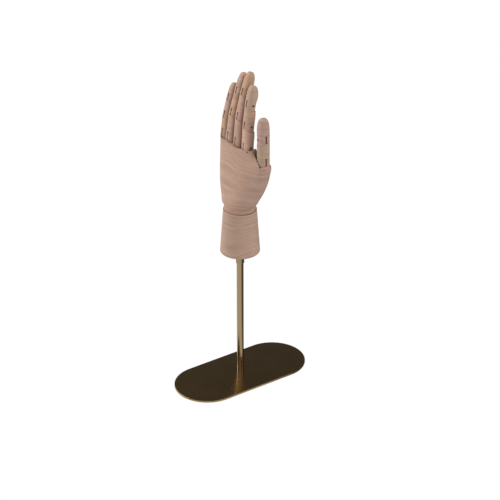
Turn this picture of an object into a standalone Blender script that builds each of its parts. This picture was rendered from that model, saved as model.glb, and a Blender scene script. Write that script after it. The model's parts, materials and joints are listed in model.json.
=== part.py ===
"""Jointed wooden display hand on a brass rod and a round-ended metal base.

The origin is on the underside of the base, on the axis of the rod. The back of
the hand faces -X, the palm +X, the thumb is on the -Y side.
"""

import math

import bmesh
import bpy
from mathutils import Matrix, Vector

# Base, in metres
BASE_LENGTH = 0.180
BASE_WIDTH = 0.0823
BASE_THICKNESS = 0.0025
BASE_CHAMFER = 0.0004

# Rod with its round nut and the threaded insert in the forearm
ROD_RADIUS = 0.0045
ROD_FOOT_RADIUS = 0.0030
ROD_HEIGHT = 0.1694
SPIGOT_RADIUS = 0.0030
SPIGOT_REACH = 0.0170
COLLAR_RADIUS = 0.0050
COLLAR_HEIGHT = 0.0072
INSERT_RADIUS = 0.0055
INSERT_LENGTH = 0.0180

# Forearm and the dowel that the hand turns on
FOREARM_HEIGHT = 0.0568
FOREARM_BOTTOM_RADIUS = 0.0240
FOREARM_TOP_RADIUS = 0.0202
FOREARM_ROUNDING = 0.0020
FOREARM_TOP_CHAMFER = 0.0005
DOWEL_RADIUS = 0.0050
DOWEL_IN_FOREARM = 0.0220
DOWEL_IN_PALM = 0.0200

# Palm: heights are above the wrist seam
NECK_RADIUS = 0.0190
NECK_HEIGHT = 0.0062
PALM_TOP = 0.0866
PALM_CROWN = 0.0030
PALM_CROWN_MIDDLE = 0.0050
PALM_CROWN_REACH = 0.0320
# Each section is height, half thickness, middle in X, lowest Y, highest Y and
# squareness of the palm, then X, Y and radius of the ball of the thumb beside it
PALM_SECTIONS = (
    (0.0085, 0.0193, 0.0000, -0.0230, 0.0245, 2.00, 0.0022, -0.0098, 0.0105),
    (0.0160, 0.0180, 0.0000, -0.0285, 0.0280, 2.10, 0.0034, -0.0165, 0.0106),
    (0.0270, 0.0160, 0.0001, -0.0300, 0.0322, 2.20, 0.0046, -0.0228, 0.0107),
    (0.0360, 0.0146, 0.0003, -0.0298, 0.0338, 2.28, 0.0053, -0.0270, 0.0108),
    (0.0460, 0.0132, 0.0005, -0.0292, 0.0350, 2.35, 0.0061, -0.0308, 0.0108),
    (0.0560, 0.0120, 0.0008, -0.0286, 0.0358, 2.40, 0.0067, -0.0332, 0.0106),
    (0.0660, 0.0109, 0.0010, -0.0282, 0.0363, 2.44, 0.0070, -0.0354, 0.0104),
    (0.0715, 0.0104, 0.0011, -0.0279, 0.0365, 2.46, 0.0070, -0.0352, 0.0100),
    (0.0770, 0.0100, 0.0012, -0.0277, 0.0367, 2.48, 0.0055, -0.0310, 0.0080),
    (0.0825, 0.0097, 0.0012, -0.0275, 0.0369, 2.49, 0.0042, -0.0250, 0.0050),
    (PALM_TOP, 0.0095, 0.0012, -0.0273, 0.0370, 2.50, 0.0030, -0.0150, 0.0030),
)
PALM_BLEND = 0.0012
PALM_SPREAD = 0.7

# Knuckle pins in the palm's frame, lengths from pin to pin and to the tip, bends
# at rest in degrees, half thickness and half width at each pin
FINGERS = {
    "index": {
        "knuckle": (0.0002, -0.0156, 0.0863),
        "lengths": (0.0260, 0.0255, 0.0230),
        "bends": (2.6, 3.4, 5.0),
        "depths": (0.0065, 0.0062, 0.0057),
        "widths": (0.0068, 0.0066, 0.0061),
    },
    "middle": {
        "knuckle": (-0.0014, -0.0010, 0.0889),
        "lengths": (0.0293, 0.0288, 0.0256),
        "bends": (5.0, 7.7, 5.5),
        "depths": (0.0062, 0.0059, 0.0054),
        "widths": (0.0066, 0.0064, 0.0059),
    },
    "ring": {
        "knuckle": (-0.0016, 0.0140, 0.0901),
        "lengths": (0.0275, 0.0263, 0.0231),
        "bends": (8.5, 7.3, 2.5),
        "depths": (0.0062, 0.0058, 0.0053),
        "widths": (0.0066, 0.0063, 0.0058),
    },
    "little": {
        "knuckle": (0.0003, 0.0284, 0.0886),
        "lengths": (0.0211, 0.0207, 0.0188),
        "bends": (6.8, 7.3, 4.0),
        "depths": (0.0058, 0.0055, 0.0050),
        "widths": (0.0060, 0.0057, 0.0052),
    },
}
THUMB = {
    "knuckle": (0.0072, -0.0370, 0.0741),
    "lengths": (0.0279, 0.0252),
    "bends": (0.0, 0.0),
    "depths": (0.0073, 0.0072),
    "widths": (0.0073, 0.0072),
}
THUMB_TURN = 82.0
FINGER_SQUARENESS = 2.6
THUMB_SQUARENESS = 2.15
BONE_NAMES = {3: ("proximal", "middle", "distal"), 2: ("proximal", "distal")}

# Joints
KNUCKLE_DROP = 0.0039
SHOULDER_DROP = 0.0021
THUMB_DROP = 0.0032
RIM_GAP = 0.00035
CUP_GAP = 0.00017
BACKWARD_BEND = 2.0
THUMB_SEAT_MARGIN = 0.0013
THUMB_SIDE_GAP = 0.0004
CUP_SLOPE = math.radians(8.0)
KERF_WIDTH = 0.0015
KEYHOLE_RISE = 0.0042
KEYHOLE_RADIUS = 0.0012
PAD_HEIGHT = 0.0008
TIP_PAD_HEIGHT = 0.0017
TIP_ROUNDNESS = 3.4
PAD_START = 0.0012
LINK_THICKNESS = 0.0012
LINK_HALF_WIDTH = 0.0023
LINK_EYE_RADIUS = 0.0030
LINK_DEPTH = 0.0120
KNUCKLE_LINK_DEPTH = 0.0170
PIN_RADIUS = 0.00105
PIN_RECESS = 0.0009
BORE_GAP = 0.00015

# Clearances and round counts
SEAT_GAP = 0.0003
FIT_GAP = 0.0002
TURNED_SIDES = 40
ROD_SIDES = 24
BONE_SIDES = 20
PALM_SIDES = 44
HOLE_SIDES = 12
ARC_STEPS = 9
CUTTER_REACH = 0.030

FOREARM_BOTTOM = BASE_THICKNESS + ROD_HEIGHT
WRIST_SEAM = FOREARM_BOTTOM + FOREARM_HEIGHT + SEAT_GAP


def clear_scene():
    for item in list(bpy.data.objects):
        bpy.data.objects.remove(item, do_unlink=True)


def make_material(name, colour, roughness, metallic=0.0):
    material = bpy.data.materials.new(name)
    material.use_nodes = True
    shader = material.node_tree.nodes["Principled BSDF"]
    shader.inputs["Base Color"].default_value = (*colour, 1.0)
    shader.inputs["Roughness"].default_value = roughness
    shader.inputs["Metallic"].default_value = metallic
    return material


def make_object(name, bm, material=None, parent=None, matrix=None):
    """Turns a bmesh into an object with outward faces, placed in its parent's frame."""
    bmesh.ops.recalc_face_normals(bm, faces=bm.faces)
    mesh = bpy.data.meshes.new(name)
    bm.to_mesh(mesh)
    bm.free()
    return place_mesh(name, mesh, material, parent, matrix)


def place_mesh(name, mesh, material=None, parent=None, matrix=None):
    made = bpy.data.objects.new(name, mesh)
    bpy.context.scene.collection.objects.link(made)
    if material and not mesh.materials:
        mesh.materials.append(material)
    if material:
        mesh.shade_smooth()
        mesh.set_sharp_from_angle(angle=math.radians(35.0))
    made.parent = parent
    made.matrix_local = matrix or Matrix.Identity(4)
    return made


def make_empty(name, parent=None, matrix=None):
    made = bpy.data.objects.new(name, None)
    made.empty_display_size = 0.005
    bpy.context.scene.collection.objects.link(made)
    made.parent = parent
    made.matrix_local = matrix or Matrix.Identity(4)
    return made


def cut(target, name, bm, parent, matrix=None):
    """Cuts a helper shape, which isn't rendered, from the target."""
    helper = make_object(name, bm, None, parent, matrix)
    helper.hide_render = True
    helper.display_type = "WIRE"
    modifier = target.modifiers.new(name, "BOOLEAN")
    modifier.operation = "DIFFERENCE"
    modifier.solver = "EXACT"
    modifier.object = helper


def turned(profile, sides):
    """A solid of revolution about Z from (radius, height) points; ends may lie on the axis."""
    bm = bmesh.new()
    rings = []
    for radius, height in profile:
        if radius == 0.0:
            rings.append([bm.verts.new((0.0, 0.0, height))])
            continue
        angles = (math.tau * i / sides for i in range(sides))
        rings.append([bm.verts.new((radius * math.cos(a), radius * math.sin(a), height)) for a in angles])
    closed = profile[0][0] > 0.0
    pairs = zip(rings, rings[1:] + rings[:1]) if closed else zip(rings, rings[1:])
    for lower, upper in pairs:
        join_rings(bm, lower, upper)
    return bm


def join_rings(bm, first, second):
    """Faces between two rings, either of which may be one point."""
    count = max(len(first), len(second))
    if len(first) == len(second) == 1:
        return
    for i in range(count):
        j = (i + 1) % count
        corners = [first[i % len(first)], first[j % len(first)]]
        corners += [second[j % len(second)], second[i % len(second)]]
        bm.faces.new(list(dict.fromkeys(corners)))


def loft(rings):
    """A closed skin over rings of points, with flat ends."""
    bm = bmesh.new()
    rows = [[bm.verts.new(point) for point in ring] for ring in rings]
    for lower, upper in zip(rows, rows[1:]):
        join_rings(bm, lower, upper)
    bm.faces.new(rows[0])
    bm.faces.new(rows[-1])
    return bm


def prism(outline, axis, low, high):
    """An outline pushed along X, Y or Z; its two numbers are the other axes in order."""
    def place(point, along):
        values = list(point)
        values.insert(axis, along)
        return values

    return loft([[place(p, low) for p in outline], [place(p, high) for p in outline]])


def circle(radius, sides, middle=(0.0, 0.0)):
    angles = (math.tau * i / sides for i in range(sides))
    return [(middle[0] + radius * math.cos(a), middle[1] + radius * math.sin(a)) for a in angles]


def arc(radius, start, end, steps, middle=(0.0, 0.0)):
    """Points on an arc between two angles in radians, both ends included."""
    turn = (end - start) / steps
    angles = (start + turn * i for i in range(steps + 1))
    return [(middle[0] + radius * math.cos(a), middle[1] + radius * math.sin(a)) for a in angles]


def squared_ellipse(half_x, half_y, squareness, sides):
    """Points of a superellipse, as (x, y)."""
    def along(value, half):
        return math.copysign(abs(value) ** (2.0 / squareness), value) * half

    angles = (math.tau * i / sides for i in range(sides))
    return [(along(math.cos(a), half_x), along(math.sin(a), half_y)) for a in angles]


def base_outline():
    radius = BASE_WIDTH / 2.0
    reach = BASE_LENGTH / 2.0 - radius
    quarter = math.pi / 2.0
    right = arc(radius, -quarter, quarter, TURNED_SIDES // 2, (reach, 0.0))
    left = arc(radius, quarter, 3.0 * quarter, TURNED_SIDES // 2, (-reach, 0.0))
    return right + left


def build_base(dark):
    plate = make_object("base_plate", prism(base_outline(), 2, 0.0, BASE_THICKNESS), dark)
    rounding = plate.modifiers.new("edge", "BEVEL")
    rounding.width = BASE_CHAMFER
    rounding.segments = 1
    rounding.limit_method = "ANGLE"
    rounding.angle_limit = math.radians(60.0)
    hole = prism(circle(ROD_FOOT_RADIUS + FIT_GAP, ROD_SIDES), 2, -SEAT_GAP, 2.0 * BASE_THICKNESS)
    cut(plate, "cutter_base_hole", hole, plate)


def build_rod(brass):
    foot = BASE_THICKNESS + FIT_GAP
    shoulder = FOREARM_BOTTOM - COLLAR_HEIGHT - SEAT_GAP
    tip = FOREARM_BOTTOM + SPIGOT_REACH
    edge = FIT_GAP
    profile = [
        (0.0, 0.0),
        (ROD_FOOT_RADIUS, 0.0),
        (ROD_FOOT_RADIUS, foot),
        (ROD_RADIUS, foot),
        (ROD_RADIUS, shoulder - edge),
        (ROD_RADIUS - edge, shoulder),
        (SPIGOT_RADIUS, shoulder),
        (SPIGOT_RADIUS, tip),
        (0.0, tip),
    ]
    make_object("rod", turned(profile, ROD_SIDES), brass)
    inner = SPIGOT_RADIUS + FIT_GAP
    low = shoulder + FIT_GAP
    high = FOREARM_BOTTOM - FIT_GAP
    collar = [
        (inner, low),
        (COLLAR_RADIUS - edge, low),
        (COLLAR_RADIUS, low + edge),
        (COLLAR_RADIUS, high - edge),
        (COLLAR_RADIUS - edge, high),
        (inner, high),
    ]
    make_object("rod_collar", turned(collar, ROD_SIDES), brass)
    low = FOREARM_BOTTOM + FIT_GAP
    high = low + INSERT_LENGTH
    insert = [(inner, low), (INSERT_RADIUS, low), (INSERT_RADIUS, high), (inner, high)]
    make_object("forearm_insert", turned(insert, ROD_SIDES), brass)


def build_forearm(wood):
    pocket = INSERT_RADIUS + FIT_GAP
    pocket_top = INSERT_LENGTH + 2.0 * FIT_GAP + SEAT_GAP
    bore = DOWEL_RADIUS + FIT_GAP
    bore_floor = FOREARM_HEIGHT - DOWEL_IN_FOREARM - SEAT_GAP
    quarter = math.pi / 2.0
    middle = (FOREARM_BOTTOM_RADIUS - FOREARM_ROUNDING, FOREARM_ROUNDING)
    profile = [(0.0, pocket_top), (pocket, pocket_top), (pocket, 0.0)]
    profile += arc(FOREARM_ROUNDING, -quarter, 0.0, 5, middle)
    profile += [
        (FOREARM_TOP_RADIUS, FOREARM_HEIGHT - FOREARM_TOP_CHAMFER),
        (FOREARM_TOP_RADIUS - FOREARM_TOP_CHAMFER, FOREARM_HEIGHT),
        (bore, FOREARM_HEIGHT),
        (bore, bore_floor),
        (0.0, bore_floor),
    ]
    matrix = Matrix.Translation((0.0, 0.0, FOREARM_BOTTOM))
    make_object("forearm", turned(profile, TURNED_SIDES), wood, None, matrix)


def palm_point(angle, section):
    """The point whose outward normal has this angle, eased from the palm to the ball of the thumb."""
    _, half_x, middle_x, low_y, high_y, squareness, ball_x, ball_y, radius = section
    cosine = math.cos(angle)
    sine = math.sin(angle)
    power = squareness / (squareness - 1.0)
    half_y = (high_y - low_y) / 2.0
    middle_y = (high_y + low_y) / 2.0
    reach_x = half_x * abs(cosine)
    reach_y = half_y * abs(sine)
    reach = (reach_x**power + reach_y**power) ** (1.0 / power)
    palm_x = middle_x + math.copysign(half_x * (reach_x / reach) ** (power - 1.0), cosine)
    palm_y = middle_y + math.copysign(half_y * (reach_y / reach) ** (power - 1.0), sine)
    lead = radius + (ball_x - middle_x) * cosine + (ball_y - middle_y) * sine - reach
    share = 1.0 / (1.0 + math.exp(-lead / PALM_BLEND))
    x = palm_x + (ball_x + radius * cosine - palm_x) * share
    y = palm_y + (ball_y + radius * sine - palm_y) * share
    return x, y


def palm_rings():
    """The round neck, then the sections, with points closer together on the broad faces."""
    turns = (math.tau * i / PALM_SIDES for i in range(PALM_SIDES))
    angles = [math.atan2(math.sin(t) * PALM_SPREAD, math.cos(t)) for t in turns]
    neck = [(NECK_RADIUS * math.cos(a), NECK_RADIUS * math.sin(a)) for a in angles]
    rings = [[(x, y, height) for x, y in neck] for height in (0.0, NECK_HEIGHT)]
    for section in PALM_SECTIONS:
        crown = PALM_CROWN * (section[0] / PALM_TOP) ** 4
        points = [palm_point(a, section) for a in angles]
        spread = [(y - PALM_CROWN_MIDDLE) / PALM_CROWN_REACH for _, y in points]
        rings.append([(x, y, section[0] - crown * s * s) for (x, y), s in zip(points, spread)])
    return rings


def knuckle_radius(depth, drop):
    """The round under-side of a bone reaches the finger's back at the shoulder."""
    return math.hypot(depth, drop)


def cup_cutter(depth, drop, low, high):
    """What a bone's cup, its rim at the back and its slope at the front take away."""
    reach = CUTTER_REACH
    radius = knuckle_radius(depth, drop) + CUP_GAP
    rim = drop + RIM_GAP
    start = math.pi + math.asin(rim / radius)
    outline = [(-reach, -rim)]
    outline += arc(radius, start, 1.5 * math.pi, ARC_STEPS)
    outline += [(reach, -radius - reach * math.tan(CUP_SLOPE)), (reach, reach), (-reach, reach)]
    return prism(outline, 1, low, high)


def trough_cutter(depth, drop, front, high):
    """The thumb's round seat between two flat rims, up to a wall at the front and one at the side."""
    reach = CUTTER_REACH
    radius = knuckle_radius(depth, drop) + CUP_GAP
    rim = drop + RIM_GAP
    start = math.pi + math.asin(rim / radius)
    outline = [(-reach, -rim)]
    outline += arc(radius, start, 3.0 * math.pi - start, 2 * ARC_STEPS)
    outline += [(front, -rim), (front, reach), (-reach, reach)]
    return prism(outline, 1, -reach, high)


def slot_cutter(depth_below):
    """The blind slot that holds the fixed half of a link."""
    half = LINK_HALF_WIDTH + FIT_GAP
    side = KERF_WIDTH / 2.0
    outline = [(-half, -depth_below), (half, -depth_below), (half, 0.0), (-half, 0.0)]
    return prism(outline, 1, -side, side)


def knuckle_cutter(depth, drop):
    """What lies outside the round under-side of a bone."""
    reach = CUTTER_REACH
    radius = knuckle_radius(depth, drop)
    start = math.pi + math.asin(drop / radius)
    outline = [(-reach, -drop)]
    outline += arc(radius, start, 3.0 * math.pi - start, 2 * ARC_STEPS)
    outline += [(reach, -drop), (reach, -reach), (-reach, -reach)]
    return prism(outline, 1, -reach, reach)


def keyhole_cutter():
    """The saw kerf up from the joint and the round hole that it ends in."""
    side = KERF_WIDTH / 2.0
    start = math.asin(side / KEYHOLE_RADIUS) - math.pi / 2.0
    outline = [(-side, -CUTTER_REACH), (side, -CUTTER_REACH)]
    outline += arc(KEYHOLE_RADIUS, start, math.pi - start, HOLE_SIDES, (0.0, KEYHOLE_RISE))
    return prism(outline, 0, -CUTTER_REACH, CUTTER_REACH)


def pin_bore_cutter():
    return prism(circle(PIN_RADIUS + BORE_GAP, HOLE_SIDES), 1, -CUTTER_REACH, CUTTER_REACH)


def link_mesh(name, depth):
    """A flat blade with a round eye on the joint's axis, its tail set in the bone below."""
    waist = math.asin(LINK_HALF_WIDTH / LINK_EYE_RADIUS)
    outline = arc(LINK_EYE_RADIUS, waist - math.pi / 2.0, 1.5 * math.pi - waist, ARC_STEPS)
    outline += [(-LINK_HALF_WIDTH, -depth), (LINK_HALF_WIDTH, -depth)]
    eye = circle(PIN_RADIUS + FIT_GAP, HOLE_SIDES)
    bm = bmesh.new()
    edges = []
    for loop in (outline, eye):
        verts = [bm.verts.new((x, -LINK_THICKNESS / 2.0, z)) for x, z in loop]
        edges += [bm.edges.new((a, b)) for a, b in zip(verts, verts[1:] + verts[:1])]
    bmesh.ops.triangle_fill(bm, edges=edges, use_beauty=True)
    pushed = bmesh.ops.extrude_face_region(bm, geom=list(bm.faces))["geom"]
    moved = [item for item in pushed if isinstance(item, bmesh.types.BMVert)]
    bmesh.ops.translate(bm, verts=moved, vec=(0.0, LINK_THICKNESS, 0.0))
    bmesh.ops.recalc_face_normals(bm, faces=bm.faces)
    mesh = bpy.data.meshes.new(name)
    bm.to_mesh(mesh)
    bm.free()
    return mesh


def bone_rings(here, above, length, squareness):
    """Sections of a bone that ends in a cup: a soft pad swells its front above the pin."""
    depth, width, drop = here
    next_depth, next_width, next_drop = above
    stations = (
        (-knuckle_radius(depth, drop) - FIT_GAP, 0.0),
        (PAD_START, 0.0),
        (2.0 * PAD_START, 0.7),
        (length / 2.0, 1.0),
        (length - knuckle_radius(next_depth, next_drop), 0.3),
        (length + SEAT_GAP, 0.0),
    )
    rings = []
    for height, pad in stations:
        share = min(max(height / length, 0.0), 1.0)
        half_x = depth + (next_depth - depth) * share
        half_y = width + (next_width - width) * share
        rings.append(bone_ring(half_x, half_y, squareness, height, pad * PAD_HEIGHT))
    return rings


def tip_rings(here, length, squareness):
    """Sections of a last bone, which closes in a blunt round end."""
    depth, width, drop = here
    low = -knuckle_radius(depth, drop) - FIT_GAP
    rings = [bone_ring(depth, width, squareness, height, 0.0) for height in (low, PAD_START)]
    rings.append(bone_ring(depth, width, squareness, 2.0 * PAD_START, 0.4 * TIP_PAD_HEIGHT))
    for share in (0.40, 0.62, 0.78, 0.89, 0.96, 0.995):
        size = (1.0 - share**TIP_ROUNDNESS) ** (1.0 / TIP_ROUNDNESS)
        pad = TIP_PAD_HEIGHT * math.sin(math.pi * share) ** 0.5 * size
        rings.append(bone_ring(depth * size, width * size, squareness, length * share, pad))
    return rings


def bone_ring(half_x, half_y, squareness, height, pad):
    section = squared_ellipse(half_x, half_y, squareness, BONE_SIDES)
    swell = 1.0 + pad / half_x
    return [(x * swell if x > 0.0 else x, y, height) for x, y in section]


def build_bone(name, here, above, bend_above, length, squareness, material, pin_axis):
    """One bone, with its origin on its lower pin; the last one has no joint above it."""
    rings = bone_rings(here, above, length, squareness) if above else tip_rings(here, length, squareness)
    bone = make_object(name, loft(rings), material, pin_axis)
    depth, _, drop = here
    cut(bone, f"cutter_{name}_knuckle", knuckle_cutter(depth, drop), bone)
    if above:
        next_depth, _, next_drop = above
        top = Matrix.Translation((0.0, 0.0, length))
        turn = Matrix.Rotation(math.radians(bend_above - BACKWARD_BEND), 4, "Y")
        cup = cup_cutter(next_depth, next_drop, -CUTTER_REACH, CUTTER_REACH)
        cut(bone, f"cutter_{name}_cup", cup, bone, top @ turn)
        cut(bone, f"cutter_{name}_slot", slot_cutter(LINK_DEPTH + FIT_GAP), bone, top)
    cut(bone, f"cutter_{name}_keyhole", keyhole_cutter(), bone)
    cut(bone, f"cutter_{name}_pin_bore", pin_bore_cutter(), bone)
    return bone


def build_digit(name, digit, palm, turn, squareness, drops, wood, steel, links):
    """A finger or the thumb: bones one above the other, a pin and a link at each joint."""
    knuckle = Matrix.Translation(digit["knuckle"])
    carrier = make_empty(f"{name}_base", palm, knuckle @ Matrix.Rotation(math.radians(turn), 4, "Z"))
    sections = list(zip(digit["depths"], digit["widths"], drops)) + [None]
    bends = list(digit["bends"]) + [0.0]
    height = 0.0
    for i, length in enumerate(digit["lengths"]):
        label = f"{name}_{BONE_NAMES[len(drops)][i]}"
        place = Matrix.Translation((0.0, 0.0, height))
        place_mesh(f"{label}_link", links[min(i, 1)], steel, carrier, place)
        bend = Matrix.Rotation(math.radians(bends[i]), 4, "Y")
        axis = make_empty(f"{label}_axis", carrier, place @ bend)
        above = sections[i + 1]
        carrier = build_bone(label, sections[i], above, bends[i + 1], length, squareness, wood, axis)
        half_length = digit["widths"][i] - PIN_RECESS
        pin = prism(circle(PIN_RADIUS, HOLE_SIDES), 1, -half_length, half_length)
        make_object(f"{label}_pin", pin, steel, axis)
        height = length


def cut_finger_seats(palm):
    """A cup across the palm's top for each finger; neighbouring cups meet half way."""
    names = list(FINGERS)
    places = [FINGERS[name]["knuckle"][1] for name in names]
    for i, name in enumerate(names):
        finger = FINGERS[name]
        margin = finger["widths"][0] + 2.0 * SEAT_GAP
        low = -margin if i == 0 else (places[i - 1] - places[i]) / 2.0 - FIT_GAP
        high = margin if i == len(names) - 1 else (places[i + 1] - places[i]) / 2.0 + FIT_GAP
        bend = Matrix.Rotation(math.radians(finger["bends"][0] - BACKWARD_BEND), 4, "Y")
        place = Matrix.Translation(finger["knuckle"])
        cup = cup_cutter(finger["depths"][0], KNUCKLE_DROP, low, high)
        cut(palm, f"cutter_palm_{name}_cup", cup, palm, place @ bend)
        slot = slot_cutter(KNUCKLE_LINK_DEPTH + FIT_GAP)
        cut(palm, f"cutter_palm_{name}_slot", slot, palm, place)


def cut_thumb_seat(palm):
    """The thumb's seat is no wider to the front than the thumb's swing."""
    place = Matrix.Translation(THUMB["knuckle"]) @ Matrix.Rotation(math.radians(THUMB_TURN), 4, "Z")
    depth = THUMB["depths"][0]
    side = THUMB["widths"][0] + THUMB_SIDE_GAP
    trough = trough_cutter(depth, THUMB_DROP, depth + THUMB_SEAT_MARGIN, side)
    cut(palm, "cutter_palm_thumb_seat", trough, palm, place)
    slot = slot_cutter(KNUCKLE_LINK_DEPTH + FIT_GAP)
    cut(palm, "cutter_palm_thumb_slot", slot, palm, place)


def build_palm(wood):
    matrix = Matrix.Translation((0.0, 0.0, WRIST_SEAM))
    palm = make_object("palm", loft(palm_rings()), wood, None, matrix)
    cut_finger_seats(palm)
    cut_thumb_seat(palm)
    bore_radius = DOWEL_RADIUS + FIT_GAP
    bore = prism(circle(bore_radius, ROD_SIDES), 2, -SEAT_GAP, DOWEL_IN_PALM + SEAT_GAP)
    cut(palm, "cutter_palm_bore", bore, palm)
    dowel = prism(circle(DOWEL_RADIUS, ROD_SIDES), 2, -DOWEL_IN_FOREARM, DOWEL_IN_PALM)
    make_object("wrist_dowel", dowel, wood, palm)
    return palm


def main():
    clear_scene()
    wood = make_material("beech", (0.62, 0.42, 0.31), 0.55)
    brass = make_material("brass", (0.60, 0.45, 0.22), 0.30, 1.0)
    steel = make_material("steel", (0.35, 0.34, 0.33), 0.35, 1.0)
    dark = make_material("dark_bronze", (0.05, 0.03, 0.02), 0.15, 1.0)
    build_base(dark)
    build_rod(brass)
    build_forearm(wood)
    palm = build_palm(wood)
    links = (link_mesh("knuckle_link", KNUCKLE_LINK_DEPTH), link_mesh("link", LINK_DEPTH))
    finger_drops = (KNUCKLE_DROP, SHOULDER_DROP, SHOULDER_DROP)
    for name, finger in FINGERS.items():
        build_digit(name, finger, palm, 0.0, FINGER_SQUARENESS, finger_drops, wood, steel, links)
    thumb_drops = (THUMB_DROP, THUMB_DROP)
    build_digit("thumb", THUMB, palm, THUMB_TURN, THUMB_SQUARENESS, thumb_drops, wood, steel, links)


main()
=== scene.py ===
"""Looks of the jointed wooden display hand: finer meshes, materials, floor, light and camera.

Everything is in metres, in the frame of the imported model: the back of the hand
faces -X, the palm +X, and the thumb is on the -Y side.
"""

import json
import math

import bmesh
import bpy
from mathutils import Matrix, Vector


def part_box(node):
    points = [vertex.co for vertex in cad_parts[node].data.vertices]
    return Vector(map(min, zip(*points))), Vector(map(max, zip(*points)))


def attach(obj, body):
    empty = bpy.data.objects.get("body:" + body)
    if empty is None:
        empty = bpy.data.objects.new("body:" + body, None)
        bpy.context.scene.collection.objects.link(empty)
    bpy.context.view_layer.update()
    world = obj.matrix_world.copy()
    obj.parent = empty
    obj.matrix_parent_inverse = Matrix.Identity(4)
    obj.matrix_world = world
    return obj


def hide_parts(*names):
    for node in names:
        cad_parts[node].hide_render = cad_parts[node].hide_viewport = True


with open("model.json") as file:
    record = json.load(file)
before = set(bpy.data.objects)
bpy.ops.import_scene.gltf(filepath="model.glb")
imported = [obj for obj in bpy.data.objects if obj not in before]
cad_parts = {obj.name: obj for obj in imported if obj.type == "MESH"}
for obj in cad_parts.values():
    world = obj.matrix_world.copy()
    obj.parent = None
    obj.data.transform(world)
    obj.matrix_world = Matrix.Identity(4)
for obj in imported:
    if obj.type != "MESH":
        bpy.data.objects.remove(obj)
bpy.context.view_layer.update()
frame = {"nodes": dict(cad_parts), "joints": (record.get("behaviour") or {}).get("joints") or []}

# Base, rod and forearm
BASE_LENGTH = 0.180
BASE_WIDTH = 0.0823
BASE_THICKNESS = 0.0025
BASE_EDGE = 0.0004
ROD_RADIUS = 0.0042
COLLAR_RADIUS = 0.0051
COLLAR_LOW = 0.1559
COLLAR_EDGE = 0.0003
FOREARM_ROUNDING = 0.0020
FOREARM_BOTTOM_RADIUS = 0.0240
FOREARM_TOP_RADIUS = 0.0202
FOREARM_TOP_EDGE = 0.0005
DOWEL_HOLE_RADIUS = 0.0052
DOWEL_HOLE_DEPTH = 0.010

# Palm sections: height above the wrist, half thickness, middle in X, lowest Y, highest Y and
# squareness, then X, Y and radius of the ball of the thumb beside it
PALM_SECTIONS = (
    (0.0000, 0.0190, 0.0000, -0.0190, 0.0190, 2.00, 0.0000, 0.0000, 0.0100),
    (0.0062, 0.0190, 0.0000, -0.0190, 0.0190, 2.00, 0.0010, -0.0040, 0.0100),
    (0.0085, 0.0193, 0.0000, -0.0230, 0.0245, 2.00, 0.0022, -0.0098, 0.0105),
    (0.0160, 0.0180, 0.0000, -0.0285, 0.0280, 2.10, 0.0034, -0.0165, 0.0106),
    (0.0270, 0.0160, 0.0001, -0.0300, 0.0322, 2.20, 0.0046, -0.0228, 0.0107),
    (0.0360, 0.0146, 0.0003, -0.0298, 0.0338, 2.28, 0.0053, -0.0270, 0.0108),
    (0.0460, 0.0132, 0.0005, -0.0292, 0.0350, 2.35, 0.0061, -0.0308, 0.0108),
    (0.0560, 0.0120, 0.0008, -0.0286, 0.0358, 2.40, 0.0067, -0.0332, 0.0106),
    (0.0660, 0.0109, 0.0010, -0.0282, 0.0363, 2.44, 0.0070, -0.0354, 0.0104),
    (0.0715, 0.0104, 0.0011, -0.0279, 0.0365, 2.46, 0.0070, -0.0352, 0.0100),
    (0.0770, 0.0100, 0.0012, -0.0277, 0.0367, 2.48, 0.0055, -0.0310, 0.0080),
    (0.0825, 0.0097, 0.0012, -0.0275, 0.0369, 2.49, 0.0042, -0.0250, 0.0050),
    (0.0866, 0.0095, 0.0012, -0.0273, 0.0370, 2.50, 0.0030, -0.0150, 0.0030),
)
PALM_TOP = PALM_SECTIONS[-1][0]
PALM_BLEND = 0.0012
PALM_SPREAD = 0.7
PALM_CROWN = 0.0030
PALM_CROWN_MIDDLE = 0.0050
PALM_CROWN_REACH = 0.0320
# Dip of the palm's top edge at the back: Y, then height at the back face and under the fingers
DIP_STATIONS = (
    (-0.0160, 0.0836, 0.0842),
    (-0.0120, 0.0829, 0.0833),
    (-0.0070, 0.0814, 0.0826),
    (-0.0010, 0.0802, 0.0822),
    (0.0140, 0.0797, 0.0828),
    (0.0265, 0.0797, 0.0820),
    (0.0310, 0.0808, 0.0826),
    (0.0345, 0.0832, 0.0850),
    (0.0372, 0.0862, 0.0880),
)
DIP_BACK = -0.0085
DIP_INSIDE = -0.0035

# Lengths from pin to pin and to the tip, bends at rest in degrees, half
# thickness and half width at each pin
DIGITS = {
    "index": {
        "lengths": (0.0260, 0.0255, 0.0230),
        "bends": (2.6, 3.4, 5.0),
        "depths": (0.0065, 0.0062, 0.0057),
        "widths": (0.0068, 0.0066, 0.0061),
    },
    "middle": {
        "lengths": (0.0293, 0.0288, 0.0256),
        "bends": (5.0, 7.7, 5.5),
        "depths": (0.0062, 0.0059, 0.0054),
        "widths": (0.0066, 0.0064, 0.0059),
    },
    "ring": {
        "lengths": (0.0275, 0.0263, 0.0231),
        "bends": (8.5, 7.3, 2.5),
        "depths": (0.0062, 0.0058, 0.0053),
        "widths": (0.0066, 0.0063, 0.0058),
    },
    "little": {
        "lengths": (0.0211, 0.0207, 0.0188),
        "bends": (6.8, 7.3, 4.0),
        "depths": (0.0058, 0.0055, 0.0050),
        "widths": (0.0060, 0.0057, 0.0052),
    },
    "thumb": {
        "lengths": (0.0279, 0.0252),
        "bends": (0.0, 0.0),
        "depths": (0.0073, 0.0072),
        "widths": (0.0073, 0.0072),
    },
}
BONE_NAMES = {3: ("proximal", "middle", "distal"), 2: ("proximal", "distal")}
THUMB_TURN = 82.0
FINGER_SQUARENESS = 2.6
THUMB_SQUARENESS = 2.15
KNUCKLE_DROPS = {"index": 0.0024, "middle": 0.0039, "ring": 0.0039, "little": 0.0039}
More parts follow.
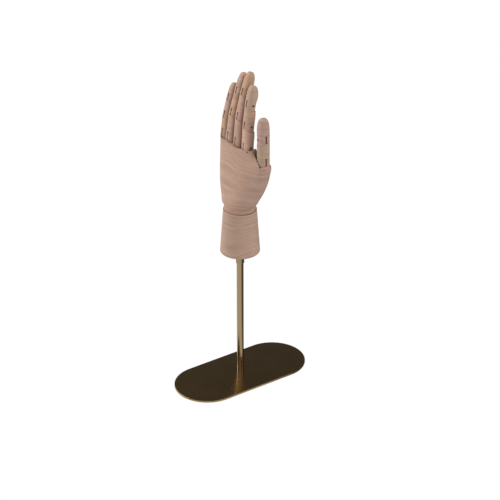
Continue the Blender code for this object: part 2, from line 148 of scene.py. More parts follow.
SHOULDER_DROP = 0.0021
THUMB_DROP = 0.0032

# Joints between the bones
RIM_GAP = 0.00035
CUP_GAP = 0.00017
BACKWARD_BEND = 2.0
THUMB_SEAT_MARGIN = 0.0013
THUMB_SIDE_GAP = 0.0004
CUP_SLOPE = math.radians(8.0)
KERF_WIDTH = 0.0015
KEYHOLE_RISE = 0.0042
KEYHOLE_RADIUS = 0.0012
PIN_HOLE_RADIUS = 0.0014
SEAT_GAP = 0.0003
FIT_GAP = 0.0002

# Swell of the bones on the palm's side and the round ends of the last bones
PAD_START = 0.0012
PAD_HEIGHT = 0.0008
PAD_BESIDE_CUP = 0.3
TIP_PAD_HEIGHT = 0.0017
TIP_PAD_FULL = 0.38
TIP_ROUNDNESS = 3.4
TIP_END = 0.9996
TIP_MARGIN = 0.00001

# Fineness of the meshes
TURNED_SIDES = 144
PALM_SIDES = 160
PALM_ROWS = 72
DIP_STEPS = 40
BONE_SIDES = 64
BONE_STEP = 0.0012
TIP_STEPS = 44
HOLE_SIDES = 32
ARC_STEPS = 40
ROUNDING_STEPS = 12
EDGE_STEPS = 5
FOREARM_STEPS = 24
CUTTER_REACH = 0.030
SMOOTH_ANGLE = math.radians(32.0)

# Wood tones, as linear colours: light, dark line, tint of the patches
PINK = ((0.54, 0.358, 0.275), (0.36, 0.218, 0.163), (0.54, 0.338, 0.245))
PALE = ((0.63, 0.425, 0.325), (0.45, 0.275, 0.205), (0.62, 0.395, 0.290))
TAN = ((0.52, 0.345, 0.240), (0.35, 0.213, 0.147), (0.57, 0.328, 0.195))
OLIVE = ((0.52, 0.358, 0.262), (0.34, 0.222, 0.160), (0.50, 0.350, 0.250))
MAUVE = ((0.52, 0.340, 0.275), (0.35, 0.205, 0.170), (0.56, 0.375, 0.255))
PALM_TONES = ((0.53, 0.350, 0.270), (0.35, 0.210, 0.160), (0.52, 0.328, 0.243))
FOREARM_TONES = ((0.53, 0.360, 0.280), (0.36, 0.220, 0.165), (0.52, 0.340, 0.250))
BONE_TONES = {
    "index_proximal": PALE, "index_middle": PINK, "index_distal": OLIVE,
    "middle_proximal": PINK, "middle_middle": PINK, "middle_distal": TAN,
    "ring_proximal": PINK, "ring_middle": TAN, "ring_distal": PINK,
    "little_proximal": TAN, "little_middle": MAUVE, "little_distal": PINK,
    "thumb_proximal": OLIVE, "thumb_distal": MAUVE,
}
PALM_SEED = 0.3
FOREARM_SEED = 5.1
FIRST_BONE_SEED = 1.7

# Growth lines: the gap between them and how far they darken
WIDE_LINES = (0.0013, 0.50)
NARROW_LINES = (0.0011, 0.42)
LINE_SWAY = 0.040
BANDS_PER_LINE = 0.17
FIBRE_STRETCH = (70.0, 70.0, 1500.0)
# How far the painted shade of crevices and nearby parts reaches
PAINTED_SHADE_REACH = 0.020
WORN_EDGE = 0.00035

# Metal tones, as linear colours
ROD_TONES = ((0.315, 0.232, 0.125), (0.365, 0.272, 0.150))
# The collar's darker olive tone is partly its own and partly painted shade from the forearm above it
COLLAR_TONES_AND_SHADE = ((0.27, 0.225, 0.120), (0.32, 0.268, 0.145))
PLATE_TONES = ((0.29, 0.193, 0.090), (0.32, 0.213, 0.101))
BRUSH_STRETCH = (60.0, 60.0, 3000.0)

# Floor, where a level of 1 is white: it glows evenly up to the first distance from the middle,
# grows to the second level by the second distance, and fades for metal from the middle to +X
FLOOR_REACH = 3.0
FLOOR_COLOUR = 0.66
GLOW_SHARE = 0.93
GLOW_DISTANCES = (0.3, 1.6)
GLOW_LEVELS = (1.03, 1.09)
FADE_WIDTH = 0.07
FADE_DEPTH = 0.90

# World: the dim room that metal mirrors above the horizon, and the even fill
ROOM_LEVEL = 0.10
WORLD_FILL = 0.40

# Lamps: azimuth and elevation in degrees, distance, width, height, watts, whether metal mirrors it
LAMPS = {
    "left": (-148.0, 38.0, 1.6, 1.1, 1.1, 20.0, True),
    "right_soft": (30.0, 38.0, 1.6, 1.1, 1.1, 4.5, True),
    "right": (30.0, 38.0, 1.6, 1.1, 1.1, 9.0, False),
    "front": (-46.0, 32.0, 1.8, 1.2, 0.9, 5.5, True),
}
LAMP_TARGET = Vector((0.0, 0.0, 0.2))

# Photograph: the camera's place was fitted to the base, the rod and the silhouettes
CAMERA_AZIMUTH = math.radians(-35.36)
CAMERA_ELEVATION = math.radians(27.97)
CAMERA_DISTANCE = 2.1601
CAMERA_SIDESTEP = 0.01193
CAMERA_HEIGHT = 0.1727
SENSOR_WIDTH = 36.0
FOCAL_LENGTH = 129.6

JOINTS = {joint["child"]: joint for joint in frame["joints"]}
FOREARM_LOW, FOREARM_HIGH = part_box("forearm")
PALM_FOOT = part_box("palm")[0].z


def finish_mesh(name, bm, materials):
    """A smooth-shaded object from a bmesh, with outward faces."""
    bmesh.ops.recalc_face_normals(bm, faces=bm.faces)
    mesh = bpy.data.meshes.new(name)
    bm.to_mesh(mesh)
    bm.free()
    made = bpy.data.objects.new(name, mesh)
    bpy.context.scene.collection.objects.link(made)
    for material in materials:
        mesh.materials.append(material)
    mesh.shade_smooth()
    return made


def join_rings(bm, first, second):
    """Faces between two rings, either of which may be one point."""
    count = max(len(first), len(second))
    for i in range(count):
        j = (i + 1) % count
        corners = [first[i % len(first)], first[j % len(first)]]
        corners += [second[j % len(second)], second[i % len(second)]]
        bm.faces.new(list(dict.fromkeys(corners)))


def loft(rings):
    """A closed skin over rings of points; an end is a flat face or one point."""
    bm = bmesh.new()
    rows = [[bm.verts.new(point) for point in ring] for ring in rings]
    for lower, upper in zip(rows, rows[1:]):
        join_rings(bm, lower, upper)
    for row in (rows[0], rows[-1]):
        if len(row) > 2:
            bm.faces.new(row)
    return bm


def turned(profile, sides):
    """A solid of revolution about Z from (radius, height) points that start and end on the axis."""
    angles = [math.tau * i / sides for i in range(sides)]
    rings = []
    for radius, height in profile:
        if radius == 0.0:
            rings.append([(0.0, 0.0, height)])
        else:
            rings.append([(radius * math.cos(a), radius * math.sin(a), height) for a in angles])
    return loft(rings)


def prism(outline, axis, low, high):
    """An outline pushed along X, Y or Z; its two numbers are the other axes in order."""
    def place(point, along):
        values = list(point)
        values.insert(axis, along)
        return values

    return loft([[place(p, low) for p in outline], [place(p, high) for p in outline]])


def circle(radius, sides):
    angles = (math.tau * i / sides for i in range(sides))
    return [(radius * math.cos(a), radius * math.sin(a)) for a in angles]


def arc(radius, start, end, steps, middle=(0.0, 0.0)):
    turn = (end - start) / steps
    angles = (start + turn * i for i in range(steps + 1))
    return [(middle[0] + radius * math.cos(a), middle[1] + radius * math.sin(a)) for a in angles]


def cut(target, bm, matrix, finish):
    """Cuts a shape from the target and leaves the shape's finish on the cut faces."""
    helper = finish_mesh("cutter", bm, [finish])
    helper.matrix_world = matrix
    modifier = target.modifiers.new("cut", "BOOLEAN")
    modifier.operation = "DIFFERENCE"
    modifier.solver = "EXACT"
    modifier.material_mode = "TRANSFER"
    modifier.object = helper


def settle(target):
    """Turns the cuts of the target into its own mesh."""
    bpy.context.view_layer.update()
    graph = bpy.context.evaluated_depsgraph_get()
    mesh = bpy.data.meshes.new_from_object(target.evaluated_get(graph))
    for modifier in list(target.modifiers):
        helper = modifier.object
        target.modifiers.remove(modifier)
        bpy.data.objects.remove(helper)
    target.data = mesh
    mesh.name = target.name
    mesh.shade_smooth()
    mesh.set_sharp_from_angle(angle=SMOOTH_ANGLE)


def knuckle_radius(depth, drop):
    return math.hypot(depth, drop)


def cup_cutter(depth, drop, low, high):
    """A bone's seat: its rim at the back, the round cup and the slope at the front."""
    reach = CUTTER_REACH
    radius = knuckle_radius(depth, drop) + CUP_GAP
    rim = drop + RIM_GAP
    start = math.pi + math.asin(rim / radius)
    outline = [(-reach, -rim)]
    outline += arc(radius, start, 1.5 * math.pi, ARC_STEPS)
    outline += [(reach, -radius - reach * math.tan(CUP_SLOPE)), (reach, reach), (-reach, reach)]
    return prism(outline, 1, low, high)


def trough_cutter(depth, drop, front, high):
    """The thumb's round seat between two flat rims."""
    reach = CUTTER_REACH
    radius = knuckle_radius(depth, drop) + CUP_GAP
    rim = drop + RIM_GAP
    start = math.pi + math.asin(rim / radius)
    outline = [(-reach, -rim)]
    outline += arc(radius, start, 3.0 * math.pi - start, 2 * ARC_STEPS)
    outline += [(front, -rim), (front, reach), (-reach, reach)]
    return prism(outline, 1, -reach, high)


def knuckle_cutter(depth, drop):
    """What lies outside the round under-side of a bone."""
    reach = CUTTER_REACH
    radius = knuckle_radius(depth, drop)
    start = math.pi + math.asin(drop / radius)
    outline = [(-reach, -drop)]
    outline += arc(radius, start, 3.0 * math.pi - start, 2 * ARC_STEPS)
    outline += [(reach, -drop), (reach, -reach), (-reach, -reach)]
    return prism(outline, 1, -reach, reach)


def keyhole_cutter():
    """The saw kerf up from the joint and the round hole that it ends in."""
    side = KERF_WIDTH / 2.0
    start = math.asin(side / KEYHOLE_RADIUS) - math.pi / 2.0
    outline = [(-side, -CUTTER_REACH), (side, -CUTTER_REACH)]
    outline += arc(KEYHOLE_RADIUS, start, math.pi - start, HOLE_SIDES, (0.0, KEYHOLE_RISE))
    return prism(outline, 0, -CUTTER_REACH, CUTTER_REACH)


def outline_point(angle, half_x, half_y, squareness):
    """The point of a superellipse whose outward normal has this angle, and how far the normal reaches."""
    cosine = math.cos(angle)
    sine = math.sin(angle)
    power = squareness / (squareness - 1.0)
    reach_x = half_x * abs(cosine)
    reach_y = half_y * abs(sine)
    reach = (reach_x**power + reach_y**power) ** (1.0 / power)
    x = math.copysign(half_x * (reach_x / reach) ** (power - 1.0), cosine)
    y = math.copysign(half_y * (reach_y / reach) ** (power - 1.0), sine)
    return x, y, reach


def ease(value, low, high):
    """0 below low, 1 above high and smooth between."""
    share = min(max((value - low) / (high - low), 0.0), 1.0)
    return share * share * (3.0 - 2.0 * share)


def steady(rows, value):
    """Reads a table of rows at a value of its first column, smoothly and without overshoot."""
    last = len(rows) - 2
    k = max(i for i in range(last + 1) if rows[i][0] <= value or i == 0)
    width = rows[k + 1][0] - rows[k][0]
    share = (value - rows[k][0]) / width

    def slope(i, column):
        if i == 0 or i == last + 1:
            return 0.0
        before = (rows[i][column] - rows[i - 1][column]) / (rows[i][0] - rows[i - 1][0])
        after = (rows[i + 1][column] - rows[i][column]) / (rows[i + 1][0] - rows[i][0])
        return 2.0 * before * after / (before + after) if before * after > 0.0 else 0.0

    found = []
    for column in range(1, len(rows[0])):
        low = rows[k][column]
        high = rows[k + 1][column]
        start = slope(k, column) * width
        end = slope(k + 1, column) * width
        rest = 1.0 - share
        found.append(
            low * rest * rest * (1.0 + 2.0 * share)
            + high * share * share * (3.0 - 2.0 * share)
            + start * share * rest * rest
            - end * share * share * rest
        )
    return found


def palm_point(angle, section):
    """Eased from the palm's outline to the ball of the thumb where that reaches further."""
    half_x, middle_x, low_y, high_y, squareness, ball_x, ball_y, radius = section
    cosine = math.cos(angle)
    sine = math.sin(angle)
    middle_y = (high_y + low_y) / 2.0
    x, y, reach = outline_point(angle, half_x, (high_y - low_y) / 2.0, squareness)
    x += middle_x
    y += middle_y
    lead = radius + (ball_x - middle_x) * cosine + (ball_y - middle_y) * sine - reach
    share = 1.0 / (1.0 + math.exp(-lead / PALM_BLEND))
    return x + (ball_x + radius * cosine - x) * share, y + (ball_y + radius * sine - y) * share


def palm_rings():
    turns = (math.tau * i / PALM_SIDES for i in range(PALM_SIDES))
    angles = [math.atan2(math.sin(t) * PALM_SPREAD, math.cos(t)) for t in turns]
    rings = []
    for i in range(PALM_ROWS + 1):
        height = PALM_TOP * i / PALM_ROWS
        crown = PALM_CROWN * (height / PALM_TOP) ** 4
        points = [palm_point(a, steady(PALM_SECTIONS, height)) for a in angles]
        spread = [(y - PALM_CROWN_MIDDLE) / PALM_CROWN_REACH for _, y in points]
        rings.append([(x, y, height - crown * s * s) for (x, y), s in zip(points, spread)])
    return rings


def bone_ring(half_x, half_y, squareness, height, pad):
    turns = (math.tau * i / BONE_SIDES for i in range(BONE_SIDES))
    points = [outline_point(a, half_x, half_y, squareness) for a in turns]
    swell = 1.0 + pad / half_x
    return [(x * swell if x > 0.0 else x, y, height) for x, y, _ in points]


def bone_rings(here, above, length, squareness):
    depth, width, drop = here
    next_depth, next_width, next_drop = above
    low = -knuckle_radius(depth, drop) - FIT_GAP
    high = length + SEAT_GAP
    crest = length / 2.0
    fall = length - knuckle_radius(next_depth, next_drop)
    rings = []
    count = math.ceil((high - low) / BONE_STEP)
    for i in range(count + 1):
        height = low + (high - low) * i / count
        share = min(max(height / length, 0.0), 1.0)
        pad = ease(height, PAD_START, crest) * (1.0 - ease(height, crest, length))
        if height > fall:
            pad = min(pad, PAD_BESIDE_CUP)
        half_x = depth + (next_depth - depth) * share
        half_y = width + (next_width - width) * share
        rings.append(bone_ring(half_x, half_y, squareness, height, pad * PAD_HEIGHT))
    return rings


def tip_rings(here, length, squareness):
    """A last bone closes in a blunt round end."""
    depth, width, drop = here
    low = -knuckle_radius(depth, drop) - FIT_GAP
    rings = [bone_ring(depth, width, squareness, low, 0.0)]
    start = PAD_START / length
    reach = length - TIP_MARGIN
    for i in range(TIP_STEPS):
        share = start + (TIP_END - start) * math.sin(math.pi / 2.0 * i / (TIP_STEPS - 1))
        size = (1.0 - share**TIP_ROUNDNESS) ** (1.0 / TIP_ROUNDNESS)
        pad = TIP_PAD_HEIGHT * math.sin(math.pi * share) ** 0.5 * size * ease(share, start, TIP_PAD_FULL)
        rings.append(bone_ring(depth * size, width * size, squareness, reach * share, pad))
    return rings


def digit_frames(name):
    """Each bone's place at rest, from its joint in the frame."""
    digit = DIGITS[name]
    turn = THUMB_TURN if name == "thumb" else 0.0
    bend = 0.0
    for i, bone in enumerate(BONE_NAMES[len(digit["lengths"])]):
        bend += digit["bends"][i]
        place = Matrix.Translation(JOINTS[f"{name}_{bone}"]["pos_m"])
        rotation = Matrix.Rotation(math.radians(turn), 4, "Z") @ Matrix.Rotation(math.radians(bend), 4, "Y")
        yield bone, place @ rotation


def build_digit(name, woods, dark):
    digit = DIGITS[name]
    thumb = name == "thumb"
    squareness = THUMB_SQUARENESS if thumb else FINGER_SQUARENESS
    drops = (THUMB_DROP,) * 2 if thumb else (KNUCKLE_DROPS[name], SHOULDER_DROP, SHOULDER_DROP)
    sections = list(zip(digit["depths"], digit["widths"], drops)) + [None]
    for i, (bone, matrix) in enumerate(digit_frames(name)):
        node = f"{name}_{bone}"
        length = digit["lengths"][i]
        here = sections[i]
        above = sections[i + 1]
        if above:
            rings = bone_rings(here, above, length, squareness)
        else:
            rings = tip_rings(here, length, squareness)
        bm = loft(rings)
        bmesh.ops.transform(bm, matrix=matrix, verts=bm.verts)
        wood = woods[node]
        made = finish_mesh(f"{node}_wood", bm, [wood])
        cut(made, knuckle_cutter(here[0], here[2]), matrix, wood)
        if above:
            top = Matrix.Translation((0.0, 0.0, length))
            turn = Matrix.Rotation(math.radians(digit["bends"][i + 1] - BACKWARD_BEND), 4, "Y")
            cup = cup_cutter(above[0], above[2], -CUTTER_REACH, CUTTER_REACH)
            cut(made, cup, matrix @ top @ turn, wood)
        # The kerf and the pin hole take the painted shade material on their walls
        cut(made, keyhole_cutter(), matrix, dark)
        hole = prism(circle(PIN_HOLE_RADIUS, HOLE_SIDES), 1, -CUTTER_REACH, CUTTER_REACH)
        cut(made, hole, matrix, dark)
        settle(made)
        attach(made, node)
        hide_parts(node)


def dip_cutter():
    """What the dip at the back of the palm's top edge takes away."""
    reach = CUTTER_REACH
    rings = []
    first = DIP_STATIONS[0][0]
    last = DIP_STATIONS[-1][0]
    for i in range(DIP_STEPS + 1):
        y = first + (last - first) * i / DIP_STEPS
        back, inside = steady(DIP_STATIONS, y)
        fall = (inside - back) / (DIP_INSIDE - DIP_BACK)
        low = back - fall * (reach + DIP_BACK)
        top = PALM_TOP + reach
        rings.append([(-reach, y, low), (DIP_INSIDE, y, inside), (DIP_INSIDE, y, top), (-reach, y, top)])
    return loft(rings)


def build_palm(wood):
    foot = Matrix.Translation((0.0, 0.0, PALM_FOOT))
    bm = loft(palm_rings())
    bmesh.ops.transform(bm, matrix=foot, verts=bm.verts)
    palm = finish_mesh("palm_wood", bm, [wood])
    names = [name for name in DIGITS if name != "thumb"]
    places = [JOINTS[f"{name}_proximal"]["pos_m"] for name in names]
    for i, name in enumerate(names):
        finger = DIGITS[name]
        margin = finger["widths"][0] + 2.0 * SEAT_GAP
        low = -margin if i == 0 else (places[i - 1][1] - places[i][1]) / 2.0 - FIT_GAP
        high = margin if i == len(names) - 1 else (places[i + 1][1] - places[i][1]) / 2.0 + FIT_GAP
        bend = Matrix.Rotation(math.radians(finger["bends"][0] - BACKWARD_BEND), 4, "Y")
        cup = cup_cutter(finger["depths"][0], KNUCKLE_DROPS[name], low, high)
        cut(palm, cup, Matrix.Translation(places[i]) @ bend, wood)
    depth = DIGITS["thumb"]["depths"][0]
    side = DIGITS["thumb"]["widths"][0] + THUMB_SIDE_GAP
    turn = Matrix.Rotation(math.radians(THUMB_TURN), 4, "Z")
    trough = trough_cutter(depth, THUMB_DROP, depth + THUMB_SEAT_MARGIN, side)
    cut(palm, trough, Matrix.Translation(JOINTS["thumb_proximal"]["pos_m"]) @ turn, wood)
    cut(palm, dip_cutter(), foot, wood)
    settle(palm)
    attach(palm, "hand")
    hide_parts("palm")


def build_forearm(wood):
    low = FOREARM_LOW.z
    high = FOREARM_HIGH.z
    middle = (FOREARM_BOTTOM_RADIUS - FOREARM_ROUNDING, low + FOREARM_ROUNDING)
    edge_middle = (FOREARM_TOP_RADIUS - FOREARM_TOP_EDGE, high - FOREARM_TOP_EDGE)
    profile = [(0.0, low)]
    profile += arc(FOREARM_ROUNDING, -math.pi / 2.0, 0.0, ROUNDING_STEPS, middle)
    start = low + FOREARM_ROUNDING
    for i in range(1, FOREARM_STEPS):
        share = i / FOREARM_STEPS
        radius = FOREARM_BOTTOM_RADIUS + (FOREARM_TOP_RADIUS - FOREARM_BOTTOM_RADIUS) * share
        profile.append((radius, start + (high - FOREARM_TOP_EDGE - start) * share))
    profile += arc(FOREARM_TOP_EDGE, 0.0, math.pi / 2.0, EDGE_STEPS, edge_middle)
    hole_floor = high - DOWEL_HOLE_DEPTH
    profile += [(DOWEL_HOLE_RADIUS, high), (DOWEL_HOLE_RADIUS, hole_floor), (0.0, hole_floor)]
    made = finish_mesh("forearm_wood", turned(profile, TURNED_SIDES), [wood])
    made.data.set_sharp_from_angle(angle=SMOOTH_ANGLE)
    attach(made, "stand")
    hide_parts("forearm")


def build_rod(brass):
    low = BASE_THICKNESS
    high = COLLAR_LOW - FIT_GAP
    profile = [(0.0, low), (ROD_RADIUS, low), (ROD_RADIUS, high), (0.0, high)]
    made = finish_mesh("rod_brass", turned(profile, TURNED_SIDES), [brass])
    made.data.set_sharp_from_angle(angle=SMOOTH_ANGLE)
    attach(made, "stand")
    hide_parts("rod")


def build_collar(brass):
    low = COLLAR_LOW
    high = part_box("rod_collar")[1].z
    inner = COLLAR_RADIUS - COLLAR_EDGE
    profile = [(0.0, low), (inner, low), (COLLAR_RADIUS, low + COLLAR_EDGE)]
    profile += [(COLLAR_RADIUS, high - COLLAR_EDGE), (inner, high), (0.0, high)]
    made = finish_mesh("collar_brass", turned(profile, TURNED_SIDES), [brass])
    made.data.set_sharp_from_angle(angle=SMOOTH_ANGLE)
    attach(made, "stand")
    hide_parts("rod_collar")


def base_outline(inset):
    radius = BASE_WIDTH / 2.0
    reach = BASE_LENGTH / 2.0 - radius
    quarter = math.pi / 2.0
    right = arc(radius - inset, -quarter, quarter, TURNED_SIDES // 2, (reach, 0.0))
    left = arc(radius - inset, quarter, 3.0 * quarter, TURNED_SIDES // 2, (-reach, 0.0))
    return right + left


def build_base(bronze):
    """A thin plate with softly rounded edges."""
    rings = []
    for i in range(EDGE_STEPS + 1):
        angle = math.pi / 2.0 * i / EDGE_STEPS
        inset = BASE_EDGE * (1.0 - math.sin(angle))
        height = BASE_EDGE * (1.0 - math.cos(angle))
        rings.append([(x, y, height) for x, y in base_outline(inset)])
    for i in range(EDGE_STEPS + 1):
        angle = math.pi / 2.0 * i / EDGE_STEPS
        inset = BASE_EDGE * (1.0 - math.cos(angle))
        height = BASE_THICKNESS - BASE_EDGE * (1.0 - math.sin(angle))
        rings.append([(x, y, height) for x, y in base_outline(inset)])
    made = finish_mesh("base_bronze", loft(rings), [bronze])
    made.data.set_sharp_from_angle(angle=SMOOTH_ANGLE)
    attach(made, "stand")
    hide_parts("base_plate")


def new_material(name):
    material = bpy.data.materials.new(name)
    material.use_nodes = True
    return material, material.node_tree, material.node_tree.nodes["Principled BSDF"]


def add(tree, kind, settings=None, **inputs):
    """A node of this kind; an input takes a value or another node's output."""
    node = tree.nodes.new("ShaderNode" + kind)
    for key, value in (settings or {}).items():
        setattr(node, key, value)
    for key, value in inputs.items():
        socket = node.inputs[int(key[1:]) if key[1:].isdigit() else key.replace("_", " ")]
        if isinstance(value, bpy.types.NodeSocket):
            tree.links.new(value, socket)
        else:
            socket.default_value = value
    return node


def ramp(tree, value, stops):
    """A colour ramp from (place, colour) stops."""
    node = add(tree, "ValToRGB", Fac=value)
    elements = node.color_ramp.elements
    while len(elements) < len(stops):
        elements.new(0.5)
    for element, (place, colour) in zip(elements, stops):
        element.position = place
        element.color = (*colour, 1.0)
    return node.outputs["Color"]


def blend(tree, share, first, second, kind="MIX"):
    """A mix of two colours, each a socket or a colour."""
    node = add(tree, "Mix", {"data_type": "RGBA", "blend_type": kind}, _0=share)
    for place, colour in ((6, first), (7, second)):
        if isinstance(colour, bpy.types.NodeSocket):
            tree.links.new(colour, node.inputs[place])
        else:
            node.inputs[place].default_value = (*colour, 1.0)
    return node.outputs[2]


def grey(level):
    return (level, level, level)


def reckon(tree, operation, first, second):
    """The result of a sum on two numbers."""
    return add(tree, "Math", {"operation": operation}, _0=first, _1=second).outputs["Value"]


def spread(tree, value, start, end, low, high):
    """The value's place between start and end, as a number between low and high."""
    node = add(tree, "MapRange", Value=value, From_Min=start, From_Max=end, To_Min=low, To_Max=high)
    return node.outputs["Result"]


def noise(tree, point, scale, detail, roughness=0.5):
    node = add(tree, "TexNoise", Vector=point, Scale=scale, Detail=detail, Roughness=roughness)
    return node.outputs["Fac"]


def noise_along(tree, value, detail):
    """Noise that changes with one number only."""
    node = add(tree, "TexNoise", {"noise_dimensions": "1D"}, W=value, Scale=1.0, Detail=detail)
    return node.outputs["Fac"]


def make_wood(name, tones, seed, growth):
    """Pale wood with fine growth lines across its local Z, slow changes of tone and fibres, and painted
    shade that darkens crevices, gaps between parts and sides facing nearby parts.
    """
    light, dark, tint = tones
    gap, depth = growth
    material, tree, shader = new_material(name)
    place = add(tree, "TexCoord").outputs["Object"]
    shift = (seed * 0.37, seed * 0.71, seed * 0.13)
    point = add(tree, "Mapping", Vector=place, Location=shift).outputs["Vector"]
    height = add(tree, "SeparateXYZ", Vector=point).outputs["Z"]
    sway = noise(tree, point, 11.0, 2.0, 0.45)
    swayed = add(tree, "Math", {"operation": "MULTIPLY_ADD"}, _0=sway, _1=LINE_SWAY, _2=height)
    level = swayed.outputs["Value"]

    # Broad bands and patches of tone
    middle = [(a + b) / 2.0 for a, b in zip(light, dark)]
    bands = noise_along(tree, reckon(tree, "MULTIPLY", level, BANDS_PER_LINE / gap), 2.0)
    banded = blend(tree, ramp(tree, bands, ((0.38, grey(0.0)), (0.66, grey(1.0)))), light, middle)
    patches = noise(tree, point, 45.0, 2.0)
    tinted = blend(tree, ramp(tree, patches, ((0.40, grey(0.0)), (0.66, grey(1.0)))), banded, tint)

    # Growth lines that come and go
    lines = noise_along(tree, reckon(tree, "MULTIPLY", level, 1.0 / gap), 3.0)
    edges = (0.36, grey(depth)), (0.50, grey(0.0)), (0.62, grey(0.0)), (0.80, grey(0.5 * depth))
    strength = ramp(tree, noise(tree, point, 90.0, 1.0), ((0.35, grey(0.35)), (0.65, grey(1.0))))
    faded = blend(tree, 1.0, ramp(tree, lines, edges), strength, "MULTIPLY")
    lined = blend(tree, faded, tinted, dark)

    # Fibres, and painted shade: ambient occlusion darkens the colour in crevices, between parts and on
    # sides that face nearby parts
    stretched = add(tree, "Mapping", Vector=point, Scale=FIBRE_STRETCH).outputs["Vector"]
    fibre = noise(tree, stretched, 1.0, 3.0, 0.6)
    fibred = blend(tree, 0.6, lined, ramp(tree, fibre, ((0.3, grey(0.84)), (0.7, grey(1.08)))), "MULTIPLY")
    near = add(tree, "AmbientOcclusion", {"samples": 12}, Distance=PAINTED_SHADE_REACH).outputs["AO"]
    painted_shade_stops = (0.20, (0.42, 0.31, 0.25)), (0.55, (0.80, 0.76, 0.73)), (0.95, grey(1.0))
    with_painted_shade = blend(tree, 1.0, fibred, ramp(tree, near, painted_shade_stops), "MULTIPLY")
    tree.links.new(with_painted_shade, shader.inputs["Base Color"])
    shader.inputs["Roughness"].default_value = 0.62
    shader.inputs["Specular IOR Level"].default_value = 0.25
    edge = add(tree, "Bevel", {"samples": 6}, Radius=WORN_EDGE).outputs["Normal"]
    bump = add(tree, "Bump", Height=fibre, Strength=0.15, Distance=0.0003, Normal=edge)
    tree.links.new(bump.outputs["Normal"], shader.inputs["Normal"])
    return material


def make_plain(name, colour, roughness, metallic):
    """One colour with a fine grain of lighter and darker specks."""
    material, tree, shader = new_material(name)
    place = add(tree, "TexCoord").outputs["Object"]
    low = [c * 0.85 for c in colour]
    high = [min(c * 1.1, 1.0) for c in colour]
    shade = ramp(tree, noise(tree, place, 400.0, 3.0), ((0.3, low), (0.7, high)))
    tree.links.new(shade, shader.inputs["Base Color"])
    shader.inputs["Roughness"].default_value = roughness
    shader.inputs["Metallic"].default_value = metallic
    return material


def make_metal(name, tones, stretch, scale, detail, smoothest, roughest):
    """Metal between two tones and two roughnesses, by one noise."""
    low, high = tones
    material, tree, shader = new_material(name)
    place = add(tree, "TexCoord").outputs["Object"]
    point = add(tree, "Mapping", Vector=place, Scale=stretch).outputs["Vector"]
    cloud = noise(tree, point, scale, detail)
    tree.links.new(ramp(tree, cloud, ((0.3, low), (0.7, high))), shader.inputs["Base Color"])
    tree.links.new(spread(tree, cloud, 0.0, 1.0, smoothest, roughest), shader.inputs["Roughness"])
    shader.inputs["Metallic"].default_value = 1.0
    return material


def make_brass(name, tones):
    """Finely brushed round the rod."""
    return make_metal(name, tones, BRUSH_STRETCH, 1.0, 3.0, 0.14, 0.22)


def make_bronze():
    """Satin plate with a faint cloudiness."""
    return make_metal("base_bronze", PLATE_TONES, (1.0, 1.0, 1.0), 35.0, 4.0, 0.23, 0.27)


def build_floor():
    """A white floor that keeps a soft shadow; in metal it fades out on the palm's side."""
    bm = bmesh.new()
    corners = ((-1.0, -1.0), (1.0, -1.0), (1.0, 1.0), (-1.0, 1.0))
    bm.faces.new([bm.verts.new((x * FLOOR_REACH, y * FLOOR_REACH, 0.0)) for x, y in corners])
    material, tree, shader = new_material("floor_white")
    shader.inputs["Base Color"].default_value = (*grey(FLOOR_COLOUR), 1.0)
    shader.inputs["Roughness"].default_value = 0.9
    shader.inputs["Specular IOR Level"].default_value = 0.0
    ray = add(tree, "LightPath").outputs
    place = add(tree, "TexCoord").outputs["Object"]
    across = add(tree, "SeparateXYZ", Vector=place).outputs["X"]
    side = spread(tree, across, 0.0, FADE_WIDTH, 0.0, FADE_DEPTH)
    dimmed = reckon(tree, "MULTIPLY", side, ray["Is Glossy Ray"])
    distance = add(tree, "VectorMath", {"operation": "LENGTH"}, _0=place).outputs["Value"]
    bright = spread(tree, distance, *GLOW_DISTANCES, *GLOW_LEVELS)
    level = reckon(tree, "SUBTRACT", bright, dimmed)
    glow = add(tree, "Emission", Color=(*grey(1.0), 1.0), Strength=level)
    seen = reckon(tree, "MAXIMUM", ray["Is Camera Ray"], ray["Is Glossy Ray"])
    seen = reckon(tree, "MAXIMUM", seen, ray["Is Transmission Ray"])
    mix = add(tree, "MixShader", Fac=reckon(tree, "MULTIPLY", seen, GLOW_SHARE))
    tree.links.new(shader.outputs["BSDF"], mix.inputs[1])
    tree.links.new(glow.outputs["Emission"], mix.inputs[2])
    tree.links.new(mix.outputs["Shader"], tree.nodes["Material Output"].inputs["Surface"])
    finish_mesh("floor", bm, [material])


def build_world():
    """White to the camera, a dim room with a white foot to metal, and an even fill to the rest."""
    world = bpy.data.worlds.new("studio")
    bpy.context.scene.world = world
    world.use_nodes = True
    tree = world.node_tree
    ray = add(tree, "LightPath").outputs
    height = add(tree, "SeparateXYZ", Vector=add(tree, "TexCoord").outputs["Generated"]).outputs["Z"]
    dim = grey(ROOM_LEVEL)
    room = ramp(tree, height, ((0.0, grey(1.0)), (0.02, grey(0.4)), (0.10, dim), (1.0, dim)))
    mirrored = blend(tree, ray["Is Glossy Ray"], grey(WORLD_FILL), room)
    seen = reckon(tree, "MAXIMUM", ray["Is Camera Ray"], ray["Is Transmission Ray"])
    shown = blend(tree, seen, mirrored, grey(1.0))
    tree.links.new(shown, tree.nodes["Background"].inputs["Color"])


def add_lamp(name, azimuth, elevation, distance, width, height, watts, mirrored):
    """A soft lamp aimed at the hand, its azimuth measured as the camera's."""
    a = math.radians(azimuth)
    e = math.radians(elevation)
    back = Vector((math.sin(a) * math.cos(e), -math.cos(a) * math.cos(e), math.sin(e)))
    light = bpy.data.lights.new(name, "AREA")
    light.shape = "RECTANGLE"
    light.size = width
    light.size_y = height
    light.energy = watts
    lamp = bpy.data.objects.new(name, light)
    bpy.context.scene.collection.objects.link(lamp)
    lamp.visible_glossy = mirrored
    lamp.location = LAMP_TARGET + back * distance
    lamp.rotation_mode = "QUATERNION"
    lamp.rotation_quaternion = (-back).to_track_quat("-Z", "Y")


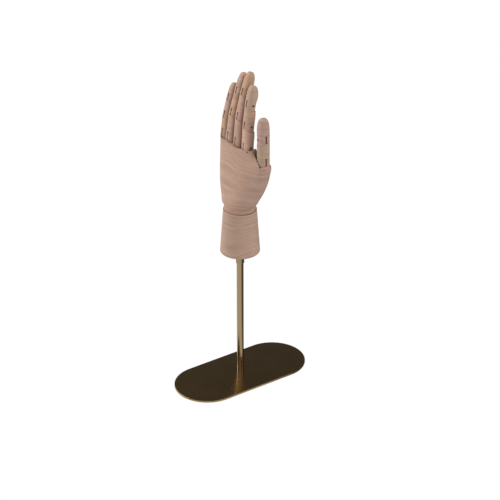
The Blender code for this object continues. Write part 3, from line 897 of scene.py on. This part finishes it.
def build_camera():
    scene = bpy.context.scene
    data = bpy.data.cameras.new("camera")
    data.sensor_width = SENSOR_WIDTH
    data.lens = FOCAL_LENGTH
    data.clip_start = 0.01
    camera = bpy.data.objects.new("camera", data)
    scene.collection.objects.link(camera)
    right = Vector((math.cos(CAMERA_AZIMUTH), math.sin(CAMERA_AZIMUTH), 0.0))
    level = Vector((math.sin(CAMERA_AZIMUTH), -math.cos(CAMERA_AZIMUTH), 0.0))
    back = level * math.cos(CAMERA_ELEVATION) + Vector((0.0, 0.0, math.sin(CAMERA_ELEVATION)))
    camera.location = right * CAMERA_SIDESTEP + Vector((0.0, 0.0, CAMERA_HEIGHT)) + back * CAMERA_DISTANCE
    camera.rotation_mode = "QUATERNION"
    camera.rotation_quaternion = (-back).to_track_quat("-Z", "Y")
    scene.camera = camera
    scene.view_settings.view_transform = "Standard"


def make_woods():
    woods = {}
    for i, (node, tones) in enumerate(BONE_TONES.items()):
        woods[node] = make_wood(f"{node}_wood", tones, FIRST_BONE_SEED + i, NARROW_LINES)
    return woods


def dress_small_parts():
    """Links, pins, the insert and the dowel keep their CAD meshes."""
    steel = make_plain("pin_steel", (0.07, 0.055, 0.045), 0.5, 1.0)
    link_steel = make_plain("link_steel", (0.40, 0.31, 0.24), 0.5, 1.0)
    brass = make_plain("insert_brass", (0.50, 0.35, 0.16), 0.35, 1.0)
    dowel = make_plain("dowel_wood", (0.50, 0.35, 0.24), 0.6, 0.0)
    for node, item in frame["nodes"].items():
        if node.endswith("_pin"):
            finish, slot = steel, "steel"
        elif node.endswith("_link"):
            finish, slot = link_steel, "steel"
        elif node == "forearm_insert":
            finish, slot = brass, "brass"
        elif node == "wrist_dowel":
            finish, slot = dowel, "wood"
        else:
            continue
        item.data.materials.clear()
        item.data.materials.append(finish)


def main():
    build_base(make_bronze())
    build_rod(make_brass("rod_brass", ROD_TONES))
    build_collar(make_brass("collar_brass", COLLAR_TONES_AND_SHADE))
    build_forearm(make_wood("forearm_wood", FOREARM_TONES, FOREARM_SEED, WIDE_LINES))
    build_palm(make_wood("palm_wood", PALM_TONES, PALM_SEED, WIDE_LINES))
    woods = make_woods()
    # Painted shade: a darker brown on the walls of the saw kerfs and pin holes, where little light reaches
    dark = make_plain("kerf_painted_shade", (0.30, 0.18, 0.13), 0.7, 0.0)
    for name in DIGITS:
        build_digit(name, woods, dark)
    dress_small_parts()
    build_floor()
    build_world()
    for name, settings in LAMPS.items():
        add_lamp(name, *settings)
    build_camera()


main()
